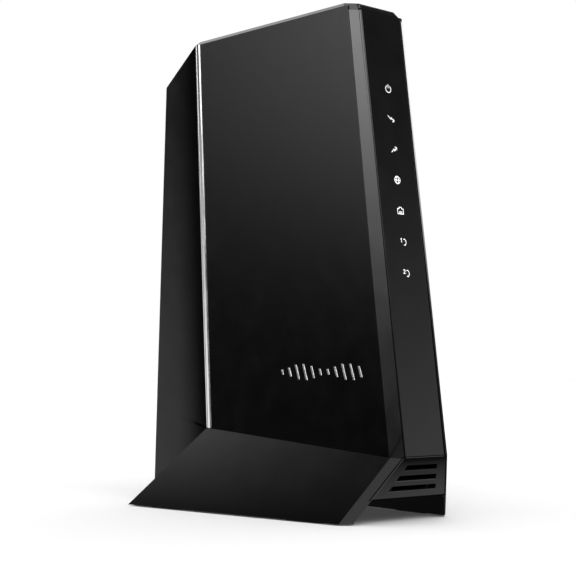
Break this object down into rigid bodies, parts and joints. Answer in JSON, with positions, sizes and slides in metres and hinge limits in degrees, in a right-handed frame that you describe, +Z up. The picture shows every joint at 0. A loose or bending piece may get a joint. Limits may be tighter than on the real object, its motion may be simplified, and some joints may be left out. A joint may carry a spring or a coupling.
{
  "type": "cable modem",
  "caption": "Wedge-shaped stand-up cable modem on two splayed feet, with a lit front panel, side panels and rear sockets for coax, Ethernet, telephone and power.",
  "frame": {"origin": "on the floor, midway between the two sides and midway between the front edge and the rearmost point", "axes": "+Z up, the lit front panel faces -Y, +X to the right seen from the front"},
  "size_m": [0.1012, 0.1744, 0.245],
  "materials": {
    "shell": "fine moulded texture",
    "side_panel": "fine grained texture",
    "accent_strip": "brushed, polished edges",
    "badge": "satin",
    "front_panel": "smoked semi-gloss",
    "icon_lens": "translucent white",
    "vent": "fine moulded texture",
    "rear_plate": "moulded texture",
    "rubber_pad": "matt",
    "circuit_board": "solder mask",
    "chip": "moulded epoxy",
    "thermal_pad": "soft",
    "heat_sink": "extruded",
    "steel_screw": "zinc plated",
    "tin_shield": "tin plated",
    "capacitor": "sleeve",
    "plated_brass": "nickel plated",
    "insulator": "plain",
    "gold_contact": "gold flash",
    "socket_plastic": "plain",
    "brass_post": "turned",
    "steel_pin": "nickel plated",
    "button": "plain",
    "led": "epoxy",
    "light_guide": "clear moulded",
    "ribbon": "flat cable"
  },
  "bodies": {
    "modem": {"left_shell": "shell", "right_shell": "shell", "left_side_panel": "side_panel", "right_side_panel": "side_panel", "left_accent_strip": "accent_strip", "right_accent_strip": "accent_strip", "side_badge": "badge", "front_bezel": "front_panel", "indicator_icons": "icon_lens", "front_vent_grille": "vent", "top_grille": "shell", "rear_panel": "rear_plate", "bottom_cover": "rear_plate", "rubber_feet": "rubber_pad", "main_board": "circuit_board", "board_standoffs": "brass_post", "main_processor": "chip", "memory_chips": "chip", "flash_chip": "chip", "thermal_pads": "thermal_pad", "finned_heat_sink": "heat_sink", "heat_spreader_plate": "heat_sink", "heat_sink_screws": "steel_screw", "tuner_shield_frame": "tin_shield", "tuner_shield_lid": "tin_shield", "electrolytic_capacitors": "capacitor", "power_inductors": "chip", "line_transformers": "chip", "coax_connector_shell": "plated_brass", "coax_insulator": "insulator", "coax_contact": "gold_contact", "ethernet_jack_shell": "tin_shield", "ethernet_jack_housing": "socket_plastic", "ethernet_contacts": "gold_contact", "phone_jack_housing": "socket_plastic", "phone_contacts": "gold_contact", "power_inlet_housing": "socket_plastic", "power_inlet_pin": "steel_pin", "reset_switch": "socket_plastic", "indicator_board": "circuit_board", "indicator_leds": "led", "light_guide": "light_guide", "ribbon_cable": "ribbon", "ribbon_sockets": "insulator", "board_screws": "steel_screw", "case_screws": "steel_screw", "rear_panel_screws": "steel_screw"},
    "reset_plunger": {"reset_button": "button"}
  },
  "joints": [
    {"name": "reset_press", "type": "slide", "parent": "modem", "child": "reset_plunger", "axis": [0, -1, 0], "range_m": [0, 0.0005], "stiffness_N_per_m": 2000}
  ]
}
